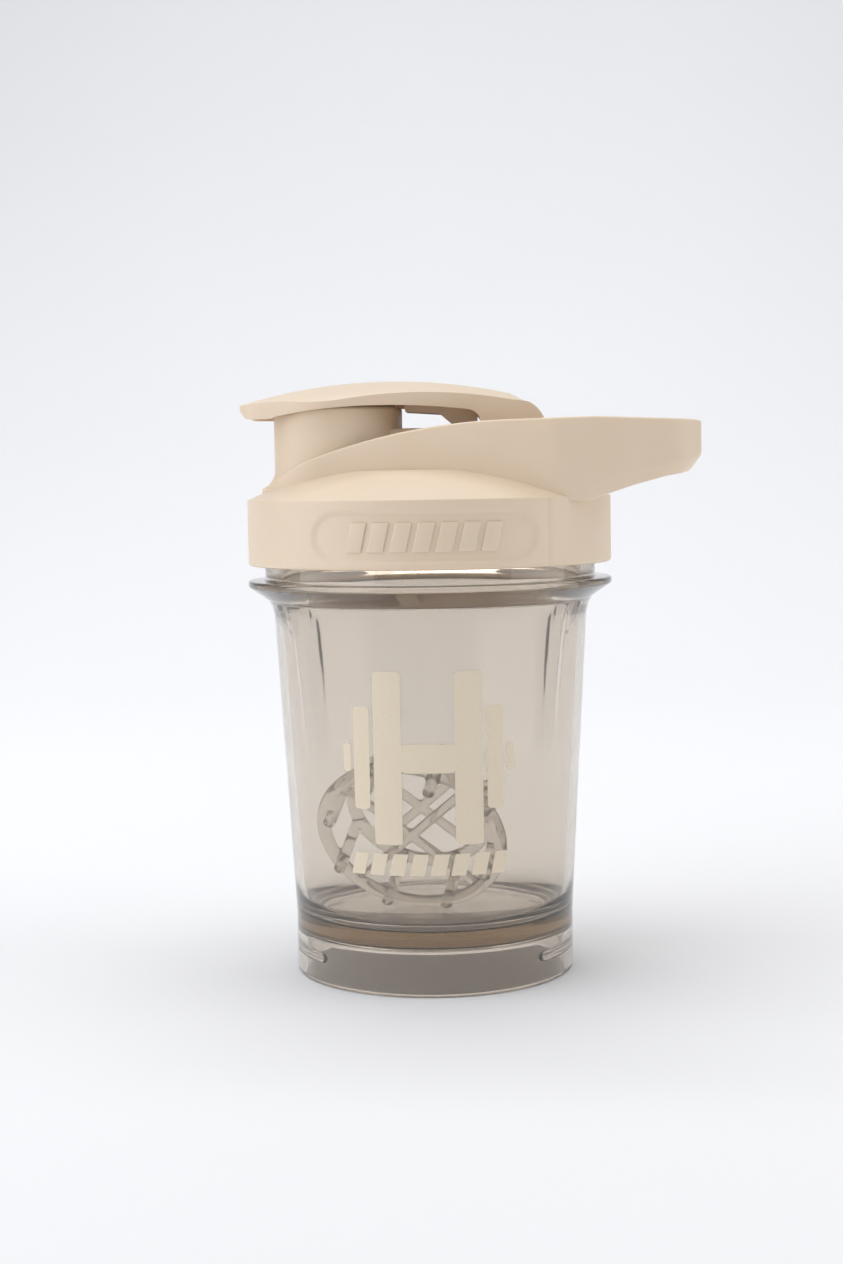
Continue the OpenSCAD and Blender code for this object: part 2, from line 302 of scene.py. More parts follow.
def beigePolypropylene():
    # moulded PP with a fine spark-eroded grain: matte, slightly waxy, light sinks in a little
    look = {"pale": "#E9D6BF", "deep": "#E3CEB4", "roughness": 0.4, "grainMm": 0.45, "cloudMm": 14}
    material, tree, place, output = newMaterial("beigePolypropyleneMoulded")
    cloud = addNode(tree, "ShaderNodeTexNoise",
                    {"Scale": perMetre(look["cloudMm"]), "Detail": 3, "Roughness": 0.6},
                    {"Vector": place})
    tint = addNode(tree, "ShaderNodeMix",
                   {"data_type": "RGBA", 6: linear(look["deep"]), 7: linear(look["pale"])},
                   {"Factor": cloud.outputs["Fac"]})
    grain = addNode(tree, "ShaderNodeTexNoise",
                    {"Scale": perMetre(look["grainMm"]), "Detail": 2, "Roughness": 0.7},
                    {"Vector": place})
    rough = addNode(tree, "ShaderNodeMapRange",
                    {"To Min": look["roughness"] - 0.05, "To Max": look["roughness"] + 0.07},
                    {"Value": grain.outputs["Fac"]})
    bump = addNode(tree, "ShaderNodeBump", {"Strength": 0.25, "Distance": 0.03 * mm},
                   {"Height": grain.outputs["Fac"]})
    shader = addNode(tree, "ShaderNodeBsdfPrincipled",
                     {"IOR": 1.49, "Subsurface Weight": 0.12, "Subsurface Scale": 0.0015,
                      "Subsurface Radius": (1.0, 0.7, 0.5), "Specular IOR Level": 0.5},
                     {"Base Color": tint.outputs[2], "Roughness": rough.outputs["Result"],
                      "Normal": bump.outputs["Normal"]})
    tree.links.new(shader.outputs["BSDF"], output.inputs["Surface"])
    return material


def smokeTritan():
    # injection-moulded copolyester: clear, glossy, smoke-brown with depth
    look = {"tint": "#F1ECE6", "absorb": "#C9B389", "density": 50.0, "roughness": 0.03,
            "clear": 0.95, "flowMm": 30}
    material, tree, place, output = newMaterial("smokeTritanMoulded")
    flow = addNode(tree, "ShaderNodeTexNoise",
                   {"Scale": perMetre(look["flowMm"]), "Detail": 2, "Roughness": 0.5}, {"Vector": place})
    bump = addNode(tree, "ShaderNodeBump", {"Strength": 0.06, "Distance": 0.3 * mm},
                   {"Height": flow.outputs["Fac"]})
    shader = addNode(tree, "ShaderNodeBsdfPrincipled",
                     {"Base Color": linear(look["tint"]), "Roughness": look["roughness"],
                      "IOR": 1.54, "Transmission Weight": look["clear"]},
                     {"Normal": bump.outputs["Normal"]})
    depth = addNode(tree, "ShaderNodeVolumeAbsorption",
                    {"Color": linear(look["absorb"]), "Density": look["density"]})
    tree.links.new(shader.outputs["BSDF"], output.inputs["Surface"])
    tree.links.new(depth.outputs["Volume"], output.inputs["Volume"])
    return material


def milkySilicone():
    # moulded food-grade silicone: soft sheen, light sinks in
    look = {"colour": "#F0EAE0", "smoothest": 0.42, "roughest": 0.58, "dustMm": 1.2}
    material, tree, place, output = newMaterial("milkySiliconeMoulded")
    dust = addNode(tree, "ShaderNodeTexNoise",
                   {"Scale": perMetre(look["dustMm"]), "Detail": 3}, {"Vector": place})
    rough = addNode(tree, "ShaderNodeMapRange",
                    {"To Min": look["smoothest"], "To Max": look["roughest"]},
                    {"Value": dust.outputs["Fac"]})
    bump = addNode(tree, "ShaderNodeBump", {"Strength": 0.15, "Distance": 0.02 * mm},
                   {"Height": dust.outputs["Fac"]})
    shader = addNode(tree, "ShaderNodeBsdfPrincipled",
                     {"Base Color": linear(look["colour"]), "IOR": 1.41, "Subsurface Weight": 0.35,
                      "Subsurface Scale": 0.002, "Sheen Weight": 0.1},
                     {"Roughness": rough.outputs["Result"], "Normal": bump.outputs["Normal"]})
    tree.links.new(shader.outputs["BSDF"], output.inputs["Surface"])
    return material


def naturalPolypropylene():
    # unpigmented moulded PP: milky, mostly clear in thin rods, smooth from the mould
    look = {"pale": "#FBF8F2", "deep": "#F4EFE6", "roughness": 0.12, "ior": 1.2, "clear": 0.86,
            "hazeMm": 5}
    material, tree, place, output = newMaterial("naturalPolypropyleneMoulded")
    haze = addNode(tree, "ShaderNodeTexNoise",
                   {"Scale": perMetre(look["hazeMm"]), "Detail": 3}, {"Vector": place})
    tint = addNode(tree, "ShaderNodeMix",
                   {"data_type": "RGBA", 6: linear(look["deep"]), 7: linear(look["pale"])},
                   {"Factor": haze.outputs["Fac"]})
    bump = addNode(tree, "ShaderNodeBump", {"Strength": 0.1, "Distance": 0.1 * mm},
                   {"Height": haze.outputs["Fac"]})
    shader = addNode(tree, "ShaderNodeBsdfPrincipled",
                     {"Roughness": look["roughness"], "IOR": look["ior"],
                      "Transmission Weight": look["clear"]},
                     {"Base Color": tint.outputs[2], "Normal": bump.outputs["Normal"]})
    tree.links.new(shader.outputs["BSDF"], output.inputs["Surface"])
    return material


def acetalPin():
    # turned acetal rod: smooth, faint turning lines
    look = {"colour": "#E3D2BD", "roughness": 0.3, "lineMm": 0.6}
    material, tree, place, output = newMaterial("acetalTurned")
    turning = addNode(tree, "ShaderNodeTexWave",
                      {"wave_type": "BANDS", "bands_direction": "Y", "Scale": perMetre(look["lineMm"]),
                       "Distortion": 0.5}, {"Vector": place})
    bump = addNode(tree, "ShaderNodeBump", {"Strength": 0.1, "Distance": 0.01 * mm},
                   {"Height": turning.outputs["Fac"]})
    shader = addNode(tree, "ShaderNodeBsdfPrincipled",
                     {"Base Color": linear(look["colour"]), "Roughness": look["roughness"], "IOR": 1.48},
                     {"Normal": bump.outputs["Normal"]})
    tree.links.new(shader.outputs["BSDF"], output.inputs["Surface"])
    return material


def creamInk():
    # screen-printed cream ink: opaque, slightly uneven, satin
    look = {"pale": "#EADCC6", "deep": "#E2D2B9", "roughness": 0.38, "meshMm": 0.5}
    material, tree, place, output = newMaterial("creamInkScreenPrinted")
    mesh = addNode(tree, "ShaderNodeTexNoise",
                   {"Scale": perMetre(look["meshMm"]), "Detail": 2}, {"Vector": place})
    tint = addNode(tree, "ShaderNodeMix",
                   {"data_type": "RGBA", 6: linear(look["deep"]), 7: linear(look["pale"])},
                   {"Factor": mesh.outputs["Fac"]})
    bump = addNode(tree, "ShaderNodeBump", {"Strength": 0.15, "Distance": 0.01 * mm},
                   {"Height": mesh.outputs["Fac"]})
    shader = addNode(tree, "ShaderNodeBsdfPrincipled",
                     {"Roughness": look["roughness"], "IOR": 1.5},
                     {"Base Color": tint.outputs[2], "Normal": bump.outputs["Normal"]})
    tree.links.new(shader.outputs["BSDF"], output.inputs["Surface"])
    return material


def paperSweep():
    # seamless studio paper: pale, dead matt
    look = {"pale": "#F5F5F6", "deep": "#F2F2F3", "roughness": 0.9, "cloudMm": 300}
    material, tree, place, output = newMaterial("paperSweep")
    fibre = addNode(tree, "ShaderNodeTexNoise",
                    {"Scale": perMetre(look["cloudMm"]), "Detail": 2}, {"Vector": place})
    tint = addNode(tree, "ShaderNodeMix",
                   {"data_type": "RGBA", 6: linear(look["deep"]), 7: linear(look["pale"])},
                   {"Factor": fibre.outputs["Fac"]})
    shader = addNode(tree, "ShaderNodeBsdfPrincipled",
                     {"Roughness": look["roughness"], "Specular IOR Level": 0.1},
                     {"Base Color": tint.outputs[2]})
    tree.links.new(shader.outputs["BSDF"], output.inputs["Surface"])
    return material


beige = beigePolypropylene()
tritan = smokeTritan()
silicone = milkySilicone()
natural = naturalPolypropylene()
acetal = acetalPin()
ink = creamInk()
print("materials made")


def finishPiece(piece, material, body, slot, *nodes, smooth=35):
    piece.data.materials.clear()
    piece.data.materials.append(material)
    smoothBelow(piece, smooth)
    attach(piece, body)
    if nodes:
        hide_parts(*nodes)
    print("piece:", piece.name, len(piece.data.polygons), "faces")


cupSizes = {
    "skirtR": 35.45, "skirtIn": 33.0, "under": 11.5, "floor": 15.0,
    "flareZ": 52.0, "flareR": 37.4, "shoulderZ": 94.3, "shoulderR": 40.75,
    "underFlangeR": 45.6, "underFlangeZ": 97.9, "flangeLow": 98.3,
    "flangeR": 46.09, "flangeTop": 99.8, "neckR": 41.9, "rimZ": 115.5, "rimIn": 39.2,
    "insideR": 33.2, "fillet": 6.0, "coreSlope": 0.0547, "innerSlope": 0.062,
    "recessHalf": 22.8, "recessLow": 40, "recessTop": 93.7, "recessCorner": 9.0,
    "recessSoft": 0.4, "squeeze": 0.95,
    "lugHalf": 19.6, "lugZ": 6.5, "lugR": 1.0, "lugDepth": 1.2, "lugTop": 9,
    "spin": 360, "step": 3.2,
    # (from, to, step): rings of the mesh are closer at the recess's top, the thread and the lugs
    "recessRings": (83, 95, 0.6), "threadRings": (100, 116, 0.42), "lugRings": (4.5, 8.5, 0.33),
}
threadSizes = {"lead": 8.0, "turn": 225.0, "starts": 2, "crestHalf": 0.55, "rootHalf": 1.2,
               "cupZ": 106.6, "cupRise": 1.2, "lidZ": 104.6, "lidRise": 1.15, "fadeAngle": 14}


def threadHeight(point, firstZ):
    # 0 to 1: how much of the thread ridge stands at this point
    t = threadSizes
    angle = math.degrees(math.atan2(point.y, point.x))
    best = 0.0
    for start in range(t["starts"]):
        along = (angle - start * 360 / t["starts"]) % 360
        if along > t["turn"]:
            continue
        off = abs(point.z / mm - firstZ - t["lead"] * along / 360)
        ramp = smoothStep(0, t["fadeAngle"], min(along, t["turn"] - along))
        best = max(best, (1 - smoothStep(t["crestHalf"], t["rootHalf"], off)) * ramp)
    return best


def scaleRadius(point, change):
    radius = math.hypot(point.x, point.y)
    factor = (radius + change * mm) / radius
    return Vector((point.x * factor, point.y * factor, point.z))


def squeezed(off, band):
    # pulls the mesh lines within band of an edge closer to it, so the edge comes out crisp
    return off * abs(off) / band if abs(off) < band else off


def pressRecess(point):
    c = cupSizes
    radius = math.hypot(point.x, point.y) / mm
    toSide = abs(point.y / mm) - (c["recessHalf"] - c["recessCorner"])
    toTop = point.z / mm - (c["recessTop"] - c["recessCorner"])
    if toSide > 0 and toTop > 0:
        away = Vector((toSide, toTop)).normalized()
    else:
        away = Vector((1, 0)) if toSide > toTop else Vector((0, 1))
    off = math.hypot(max(toSide, 0), max(toTop, 0)) + min(max(toSide, toTop), 0) - c["recessCorner"]
    shift = squeezed(off, c["squeeze"]) - off
    y = point.y / mm + math.copysign(away.x * shift, point.y)
    z = point.z / mm + away.y * shift
    x = math.copysign(math.sqrt(max(0, radius ** 2 - y ** 2)), point.x)
    depth = max(0.0, radius - (c["skirtR"] + c["coreSlope"] * (z - c["floor"])))
    share = 1 - smoothStep(-c["recessSoft"], c["recessSoft"], off + shift)
    return scaleRadius(Vector((x, y, z)) * mm, -depth * share)


def onOutside(radius, z):
    # the cup's inner wall slants, and everything past it by 1 mm is outer wall
    c = cupSizes
    return radius > c["rimIn"] + (z - c["rimZ"]) * c["innerSlope"] + 1.0


def shapeCup(point):
    c = cupSizes
    radius = math.hypot(point.x, point.y) / mm
    z = point.z / mm
    outer = onOutside(radius, z)
    if outer and c["recessLow"] < z < c["recessTop"] + 1:
        return pressRecess(point)
    if outer and z > c["flangeTop"] + 0.5 and radius > c["neckR"] - 0.1:
        return scaleRadius(point, threadSizes["cupRise"] * threadHeight(point, threadSizes["cupZ"]))
    if z < c["lugTop"] and abs(radius - c["skirtIn"]) < 0.05:
        past = max(0.0, abs(point.y / mm) - c["lugHalf"])
        off = math.hypot(past, z - c["lugZ"]) - c["lugR"]
        share = 1 - smoothStep(-0.5, 0.4, off)
        return scaleRadius(point, -c["lugDepth"] * share)
    return point


def cupStep(across, up):
    c = cupSizes
    if onOutside(across, up):
        for low, high, step in (c["recessRings"], c["threadRings"]):
            if low < up < high:
                return step
    low, high, step = c["lugRings"]
    if abs(across - c["skirtIn"]) < 0.5 and low < up < high:
        return step
    return c["step"]


def makeCup():
    c = cupSizes
    corners = [
        (0, c["under"]), (c["skirtIn"], c["under"], 1.4), (c["skirtIn"], 0, 0.9),
        (c["skirtR"], 0, 1.0), (c["skirtR"], c["floor"], 30), (c["flareR"], c["flareZ"], 60),
        (c["shoulderR"], c["shoulderZ"] + 0.3, 1.2), (c["underFlangeR"], c["underFlangeZ"], 0.8),
        (c["flangeR"], c["flangeLow"], 0.5), (c["flangeR"], c["flangeTop"], 0.7),
        (c["neckR"], c["flangeTop"], 0.6), (c["neckR"], c["rimZ"], 0.8),
        (c["rimIn"], c["rimZ"], 0.8), (c["insideR"], c["floor"], c["fillet"]), (0, c["floor"]),
    ]
    line = spaced(roundedLine(corners), cupStep)
    cup = lathe("tintedCup", line, c["spin"])
    moveVertices(cup, shapeCup)
    finishPiece(cup, tritan, "cup", "tinted_cup", "cup", smooth=50)


makeCup()


# plain dumbbell over a row of dashes
printSizes = {
    "plates": [(-18.6, 46, -14.4, 71), (-13.3, 37.5, -6.4, 79.5), (6.4, 37.5, 13.3, 79.5),
               (14.4, 46, 18.6, 71), (-6.5, 55, 6.5, 62), (-21.6, 55, -19.5, 62),
               (19.5, 55, 21.6, 62)],
    "cornerR": 1.0, "rowWide": 40, "dashCount": 8, "dashLow": 30, "dashHigh": 35.3, "dashWide": 3.6,
    "dashSlant": 1.2, "proud": 0.03, "film": 0.05, "cell": 2.0,
}


def cupOuterRadius(z):
    c = cupSizes
    low, high = (c["skirtR"], c["floor"]), (c["flareR"], c["flareZ"])
    if z > c["flareZ"]:
        low, high = high, (c["shoulderR"], c["shoulderZ"] + 0.3)
    return low[0] + (high[0] - low[0]) * (z - low[1]) / (high[1] - low[1])


def wrapOnCup(point, proud):
    # x runs round the cup from the front, y is height
    z = point.y / mm
    radius = (cupOuterRadius(z) + proud) * mm
    angle = point.x / radius
    return Vector((radius * math.sin(angle), -radius * math.cos(angle), point.y))


def printShape(name, outline):
    p = printSizes
    piece = plate(name, outline, 0)
    xs = [x for x, y in outline]
    ys = [y for x, y in outline]
    bisectEvery(piece, 0, min(xs), max(xs), p["cell"])
    bisectEvery(piece, 1, min(ys), max(ys), 4 * p["cell"])
    return piece


def makePrint():
    p = printSizes
    shapes = []
    for x0, y0, x1, y1 in p["plates"]:
        corners = [((x0 + x1) / 2, y0), (x1, y0, p["cornerR"]), (x1, y1, p["cornerR"]),
                   (x0, y1, p["cornerR"]), (x0, y0, p["cornerR"]), ((x0 + x1) / 2 - 0.1, y0)]
        shapes.append(printShape("plate", roundedLine(corners, 30)))
    pitch = p["rowWide"] / p["dashCount"]
    for i in range(p["dashCount"]):
        x = -p["rowWide"] / 2 + pitch * (i + 0.5) - p["dashWide"] / 2
        slant = p["dashSlant"]
        outline = [(x - slant / 2, p["dashLow"]), (x + p["dashWide"] - slant / 2, p["dashLow"]),
                   (x + p["dashWide"] + slant / 2, p["dashHigh"]), (x + slant / 2, p["dashHigh"])]
        shapes.append(printShape("dash", outline))
    film = join(shapes, "frontPrint")
    moveVertices(film, lambda point: wrapOnCup(point, p["proud"]))
    editAll(film)
    bpy.ops.mesh.normals_make_consistent(inside=False)
    leaveEdit()
    outward = sum(face.normal.y for face in film.data.polygons)
    applyModifier(film, "SOLIDIFY", thickness=p["film"] * mm, offset=1 if outward < 0 else -1)
    editAll(film)
    bpy.ops.mesh.normals_make_consistent(inside=False)
    leaveEdit()
    finishPiece(film, ink, "cup", "beige_lid")


makePrint()


lidSizes = {
    "collarR": 45.95, "collarZ": 103.6, "collarIn": 43.5, "seat": 117.5,
    "domeR": 107.0, "domeC": 23.3, "deck": 127.0, "shell": 2.2,
    "plugOut": 38.4, "plugIn": 36.0, "plugZ": 108.0, "shoulderR": 45.1,
    "panelHalf": 26.6, "panelTall": 5.9, "panelZ": 111.3, "panelDeep": 0.6,
    "spoutX": -22.75, "spoutR": 16.25, "boreR": 13.75, "spoutTop": 142.9,
    "flareR": 5.0, "flareLow": 121.0,
    "spineHalf": 8.9, "spineTop": 137.4, "spineEnd": 17.5,
    "spineLow": 131, "spineRound": 0.6, "lip": 0.6,
    "hingeX": 21.5, "hingeZ": 136.0, "knuckleR": 4.0, "pinR": 1.25, "pinHole": 20,
    "loopWall": 3.0, "partingAt": 39.6, "partingDeep": 0.3, "partingBand": 1.2,
    "spin": 360, "step": 4.0, "threadStep": 0.45,
}
loopSizes = {
    "circles": [(-22.75, 0, 19), (32, 17, 14), (54.2, 16, 13)],
    "topR": 150.0, "topX": 22.0, "topZ": 138.7,
    "topLine": [(22, 138.7), (41, 139.1), (67.2, 138.0)],
    "lowLine": [(33.5, 119.0), (38.5, 118.7), (44, 120.7), (51, 122.9), (58, 124.6),
                (63.3, 125.4), (66.2, 126.6), (67.2, 128.2)],
    "creaseLine": [(33.5, 120.2), (36.8, 121.2), (41.9, 123.2), (47, 125.1), (55.9, 127.3),
                   (67.2, 129.6)],
    "chamfer": 1.8, "leanFull": 42, "edge": 0.7, "creaseRise": 1.2, "sunk": 1.3, "sunkReach": 45.0,
    "fade": 1.6, "fadeStart": -30, "fadeEnd": -41,
}
barSizes = {"count": 7, "pitch": 5.4, "wide": 4.0, "tall": 7.0, "slant": 1.6, "proud": 0.45}


def domeZ(radius, drop=0.0):
    d = lidSizes
    top = d["deck"] - drop
    return min(top, d["domeC"] + math.sqrt((d["domeR"] - drop) ** 2 - radius ** 2))


def domeLine(start, end, drop, count):
    return [(start + (end - start) * i / count, domeZ(start + (end - start) * i / count, drop))
            for i in range(count + 1)]


def shapeLid(point):
    d = lidSizes
    radius = math.hypot(point.x, point.y) / mm
    z = point.z / mm
    if radius > d["collarR"] - 0.6 and point.y < 0:
        angle = math.atan2(point.x, -point.y)
        off = radius * (angle - math.radians(d["partingAt"]))
        if abs(off) < d["partingBand"]:
            pulled = squeezed(off, d["partingBand"])
            turned = angle + (pulled - off) / radius
            groove = d["partingDeep"] * (1 - smoothStep(0, 0.3, abs(pulled)))
            point = Vector((radius * math.sin(turned), -radius * math.cos(turned), z)) * mm
            return scaleRadius(point, -groove)
    if radius > d["collarR"] - 0.1 and z > d["collarZ"] + 0.8:
        if point.y > 0:
            return point
        sideways = abs(point.x / mm) - (d["panelHalf"] - d["panelTall"])
        off = math.hypot(max(0.0, sideways), z - d["panelZ"]) - d["panelTall"]
        return scaleRadius(point, -d["panelDeep"] * (1 - smoothStep(-0.7, 0.35, off)))
    if abs(radius - d["collarIn"]) < 0.1 and z < d["seat"] - 1:
        return scaleRadius(point, -threadSizes["lidRise"] * threadHeight(point, threadSizes["lidZ"]))
    return point


def lidStep(across, up):
    d = lidSizes
    if across > d["collarIn"] - 0.2 and d["collarZ"] + 0.7 < up < d["seat"] + 1:
        return d["threadStep"]
    return d["step"]


def makeLidBody():
    d = lidSizes
    corners = [(p[0], p[1]) for p in domeLine(0, d["shoulderR"], 0, 24)]
    corners += [(d["collarR"], domeZ(d["shoulderR"]) - 0.25, 0.5), (d["collarR"], d["collarZ"], 0.7),
                (d["collarIn"], d["collarZ"], 0.5), (d["collarIn"], d["seat"], 0.4),
                (d["plugOut"], d["seat"], 0.3), (d["plugOut"], d["plugZ"], 0.7),
                (d["plugIn"], d["plugZ"], 0.7)]
    corners += domeLine(d["plugIn"], 0, d["shell"], 14)
    return lathe("lidShell", spaced(roundedLine(corners), lidStep), d["spin"])


def makeSpoutMass():
    d = lidSizes
    low = d["deck"] + 0.5
    flare = arcPoints(d["spoutR"] + d["flareR"], low, d["flareR"], 250, 180, 10)
    corners = [(0, d["flareLow"]), (flare[0][0], d["flareLow"])] + flare
    corners += [(d["spoutR"], d["spoutTop"], 1.0), (0, d["spoutTop"])]
    return lathe("spout", roundedLine(corners), 128, d["spoutX"])


def makeBore():
    d = lidSizes
    lip, low, high = d["lip"], 100, 160  # well past the lid below and above
    line = [(0, low), (d["boreR"], low), (d["boreR"], d["spoutTop"] - lip),
            (d["boreR"] + lip * 0.4, d["spoutTop"] - lip * 0.4),
            (d["boreR"] + lip, d["spoutTop"] + 0.01), (d["boreR"] + lip, high), (0, high)]
    return lathe("bore", line, 128, d["spoutX"])


def valueOn(line, x):
    if x <= line[0][0]:
        return line[0][1]
    for (x0, z0), (x1, z1) in zip(line, line[1:]):
        if x <= x1:
            return z0 + (z1 - z0) * (x - x0) / (x1 - x0)
    return line[-1][1]


def loopTop(x):
    s = loopSizes
    if x < s["topX"]:
        # the wall dies out in the spout's foot
        fade = s["fade"] * smoothStep(s["fadeStart"], s["fadeEnd"], x)
        return s["topZ"] - s["topR"] + math.sqrt(s["topR"] ** 2 - (x - s["topX"]) ** 2) - fade
    return valueOn(s["topLine"], x)


def loopLow(x, y):
    # over the dome the wall stands a little inside it, and past the collar it hangs free
    s = loopSizes
    if x < s["lowLine"][0][0]:
        return domeZ(min(s["sunkReach"], math.hypot(x, y))) - s["sunk"]
    return valueOn(s["lowLine"], x)


def makeLoop():
    s, wall = loopSizes, lidSizes["loopWall"]
    free = s["lowLine"][0][0]
    endX, endY = s["circles"][-1][:2]
    outline = envelopeOutline(s["circles"], 0, 6)
    outline = spaced(outline + [outline[0]], lambda x, y: 2.5)[:-1]
    outerEdge = {(round(x, 2), round(y, 2)) for x, y in outline}
    loop = plate("carryLoop", outline, 0)
    editAll(loop)
    bpy.ops.mesh.inset(thickness=wall * mm, use_even_offset=True)
    bpy.ops.mesh.delete(type="FACE")
    leaveEdit()
    extrudeUp(loop, 1)
    editAll(loop)
    bpy.ops.mesh.bisect(plane_co=(0, 0, 0.3 * mm), plane_no=(0, 0, 1))
    leaveEdit()

    def stand(point):
        x, y, level = point.x / mm, point.y / mm, point.z / mm
        if level > 0.5:
            return Vector((x, y, loopTop(x))) * mm
        if level > 0.1:
            crease = valueOn(s["creaseLine"], x) if x > free else loopLow(x, y) + s["creaseRise"]
            return Vector((x, y, crease)) * mm
        if (round(x, 2), round(y, 2)) in outerEdge:  # lower outer edge leans in
            inward = Vector((min(x, endX) - x, min(endY, max(-endY, y)) - y)).normalized()
            lean = s["chamfer"] * smoothStep(free, s["leanFull"], x)
            return Vector((x + inward.x * lean, y + inward.y * lean, loopLow(x, y))) * mm
        return Vector((x, y, loopLow(x, y))) * mm

    moveVertices(loop, stand)
    bevelEdges(loop, s["edge"], 4, 24)
    return loop


def hingeRod(name, radius, start, end, vertices, bevel=0.0):
    # a rod on the flip cap's hinge axis, from start to end along Y
    d = lidSizes
    return rod(name, radius, (d["hingeX"], start, d["hingeZ"]), (d["hingeX"], end, d["hingeZ"]),
               vertices, bevel)


def makeSpine():
    d = lidSizes
    tangent = d["knuckleR"] - 0.1  # the spine's end runs into the knuckle just inside its skin
    outline = [(d["spoutX"], d["deck"] - 1.2), (d["spineEnd"], d["deck"] - 1.2),
               (d["spineEnd"], d["spineLow"]), (d["hingeX"] - 1, d["hingeZ"] - tangent),
               (d["hingeX"] - 1, d["hingeZ"] + tangent), (d["spineEnd"] - 3, d["spineTop"]),
               (d["spoutX"], d["spineTop"])]
    spine = across("spine", outline, d["spineHalf"])
    bevelEdges(spine, d["spineRound"], 3, 20)
    knuckle = hingeRod("knuckle", d["knuckleR"], -d["spineHalf"], d["spineHalf"], 64, 0.4)
    boolean(spine, knuckle, "UNION")
    return spine


def makeBars():
    # plain slanted bars in place of a raised word
    b, d = barSizes, lidSizes
    surface = d["collarR"] - d["panelDeep"]
    low = (-b["wide"] / 2, -surface - b["proud"], d["panelZ"] - b["tall"] / 2)
    high = (b["wide"] / 2, -surface + 1.2, d["panelZ"] + b["tall"] / 2)
    bar = block("bar", low, high)

    def lean(point):
        return Vector((point.x + b["slant"] * (point.z / mm - d["panelZ"]) / b["tall"] * mm,
                       point.y, point.z))

    moveVertices(bar, lean)
    bevelEdges(bar, 0.3, 3)
    bars = []
    for i in range(b["count"]):
        copy = bar.copy()
        copy.data = bar.data.copy()
        bpy.context.collection.objects.link(copy)
        angle = (i - (b["count"] - 1) / 2) * b["pitch"] / surface
        copy.matrix_world = Matrix.Rotation(angle, 4, "Z")
        applyPlace(copy)
        bars.append(copy)
    bpy.data.objects.remove(bar)
    return bars


def makeLid():
    d = lidSizes
    lid = makeLidBody()
    moveVertices(lid, shapeLid)
    additions = makeSpoutMass()
    boolean(additions, makeSpine(), "UNION")
    boolean(additions, makeLoop(), "UNION")
    boolean(lid, additions, "UNION")
    boolean(lid, makeBore(), "DIFFERENCE")
    boolean(lid, hingeRod("pinHole", d["pinR"], -d["pinHole"], d["pinHole"], 32), "DIFFERENCE")
    lid = join([lid] + makeBars(), "lidMoulding")
    finishPiece(lid, beige, "lid", "beige_lid", "lid_shell", smooth=32)


makeLid()


capSizes = {
    "circles": [(-35.7, 0, 12), (-22.75, 0, 18.5), (27.9, 9, 2)],
    "crownX": -9.5, "crownTop": 149.4, "crownR": 135.0, "crossR": 40.0,
    "roof": 1.6, "wall": 1.7, "hollowLow": 125, "endX": 20.9, "rearR": 8.4, "rearIn": 6.6,
    "rearJoin": (0.4617, 0.887), "rearReach": 0.978,  # shares of rearR across and up, and how far round
    "hemX": -10.0, "hemZ": 143.0, "hemR": 165.0, "hemTip": 140.2, "tipX": -45.2, "tipStart": -38,
    "footX": 13.5, "footZ": 137.75, "hemCorner": 3.0,
    "earR": 7.5, "earHalf": 11.0, "earThick": 1.7, "pinPlay": 0.05,
    "rib": [(-5.5, 141.6), (3.2, 141), (6, 138.6), (12.5, 138.6), (13, 146), (-5.5, 147.6)],
    "ribY": 4.6, "ribHalf": 0.75, "bossR": 7.0, "bossZ": 143.8, "bossTop": 146.6, "edge": 0.6,
}


def crownZ(x, y, drop=0.0, rear=None):
    c, d = capSizes, lidSizes
    rearR = rear or c["rearR"]
    if x > c["endX"]:
        joinX = d["hingeX"] + rearR * c["rearJoin"][0]
        joinZ = d["hingeZ"] + rearR * c["rearJoin"][1]
        startZ = crownZ(c["endX"], y, drop)
        if x < joinX:
            return startZ + (joinZ - startZ) * (x - c["endX"]) / (joinX - c["endX"])
        reach = min(x - d["hingeX"], rearR * c["rearReach"])
        return d["hingeZ"] + math.sqrt(rearR ** 2 - reach ** 2)
    crossR = c["crossR"] - drop
    cross = crossR - math.sqrt(crossR ** 2 - min(abs(y), crossR - 1) ** 2)
    longR = c["crownR"] - drop
    return c["crownTop"] - c["crownR"] + math.sqrt(longR ** 2 - (x - c["crownX"]) ** 2) - cross


def hemHeight(x):
    c = capSizes
    if x > c["footX"]:
        return c["footZ"]
    if x < c["tipStart"]:
        return c["hemTip"] + max(0, c["tipX"] - x)
    hem = c["hemZ"] - c["hemR"] + math.sqrt(c["hemR"] ** 2 - (x - c["hemX"]) ** 2)
    past = max(0, x - (c["footX"] - c["hemCorner"]))
    return hem - c["hemCorner"] + math.sqrt(c["hemCorner"] ** 2 - past ** 2)


def capSolid(name, inset, drop, rear, low):
    c = capSizes
    outline = envelopeOutline(c["circles"], inset, 5)
    solid = plate(name, outline, 0)
    xs = [x for x, y in outline]
    widest = max(radius for x, y, radius in c["circles"])
    bisectEvery(solid, 0, min(xs), c["tipX"], 0.8)
    bisectEvery(solid, 0, c["tipX"], c["footX"] - c["hemCorner"], 1.6)
    bisectEvery(solid, 0, c["footX"] - c["hemCorner"] - 0.4, c["footX"] + 0.4, 0.4)
    bisectEvery(solid, 0, c["footX"] + 0.4, max(xs), 0.7)
    bisectEvery(solid, 1, -widest, widest, 1.7)
    extrudeUp(solid, 1)

    def lift(point):
        x, y = point.x / mm, point.y / mm
        z = crownZ(x, y, drop, rear) if point.z > 0.5 * mm else low(x)
        return Vector((point.x, point.y, z * mm))

    moveVertices(solid, lift)
    return solid


